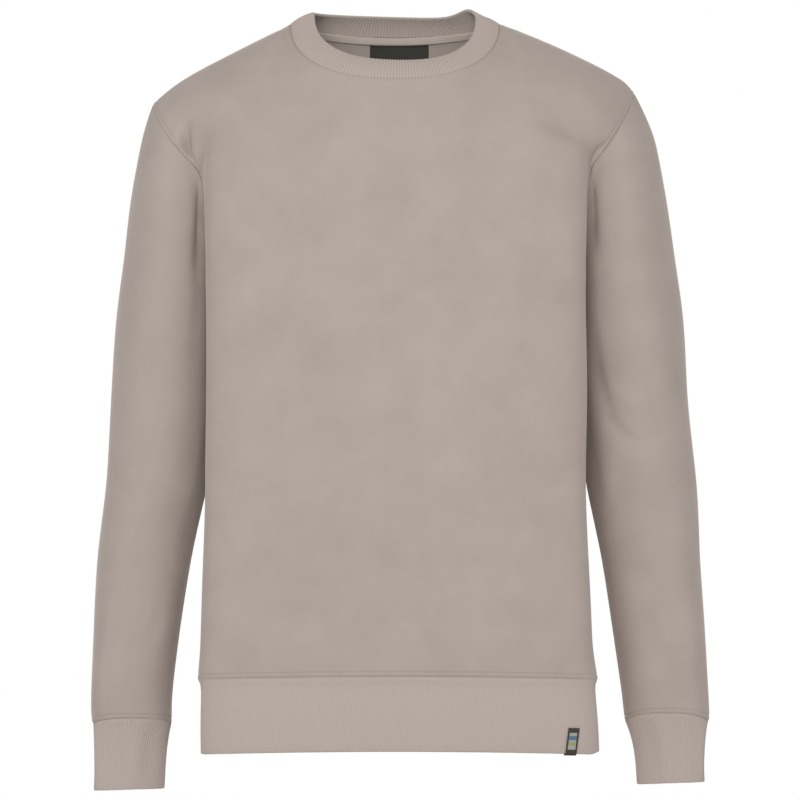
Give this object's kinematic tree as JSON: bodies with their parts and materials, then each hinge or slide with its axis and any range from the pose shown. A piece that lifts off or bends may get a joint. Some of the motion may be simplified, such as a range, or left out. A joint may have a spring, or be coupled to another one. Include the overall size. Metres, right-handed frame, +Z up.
{
  "type": "crewneck sweatshirt",
  "caption": "Long-sleeved crewneck sweatshirt, filled out as worn and hollow, with a ribbed collar, cuffs and hem.",
  "frame": {"origin": "where the wearer's neck and shoulders hold the garment: on the middle line of the body, level with the points where the shoulder seams meet the collar", "axes": "+Z up, -Y out of the front, +X to the right of someone who looks at the front"},
  "size_m": [0.5944, 0.2302, 0.7477],
  "materials": {
    "body_cloth": "matte brushed-back sweatshirt jersey",
    "rib": "matte fine rib knit",
    "tape": "matte jersey tape",
    "label": "woven label"
  },
  "bodies": {
    "root": {"front_panel": "body_cloth", "back_panel": "body_cloth", "sleeve_left": "body_cloth", "sleeve_right": "body_cloth", "hem_band": "rib", "cuff_left": "rib", "cuff_right": "rib", "collar": "rib", "neck_tape": "tape", "neck_label": "label", "hem_label": "label"}
  },
  "joints": []
}
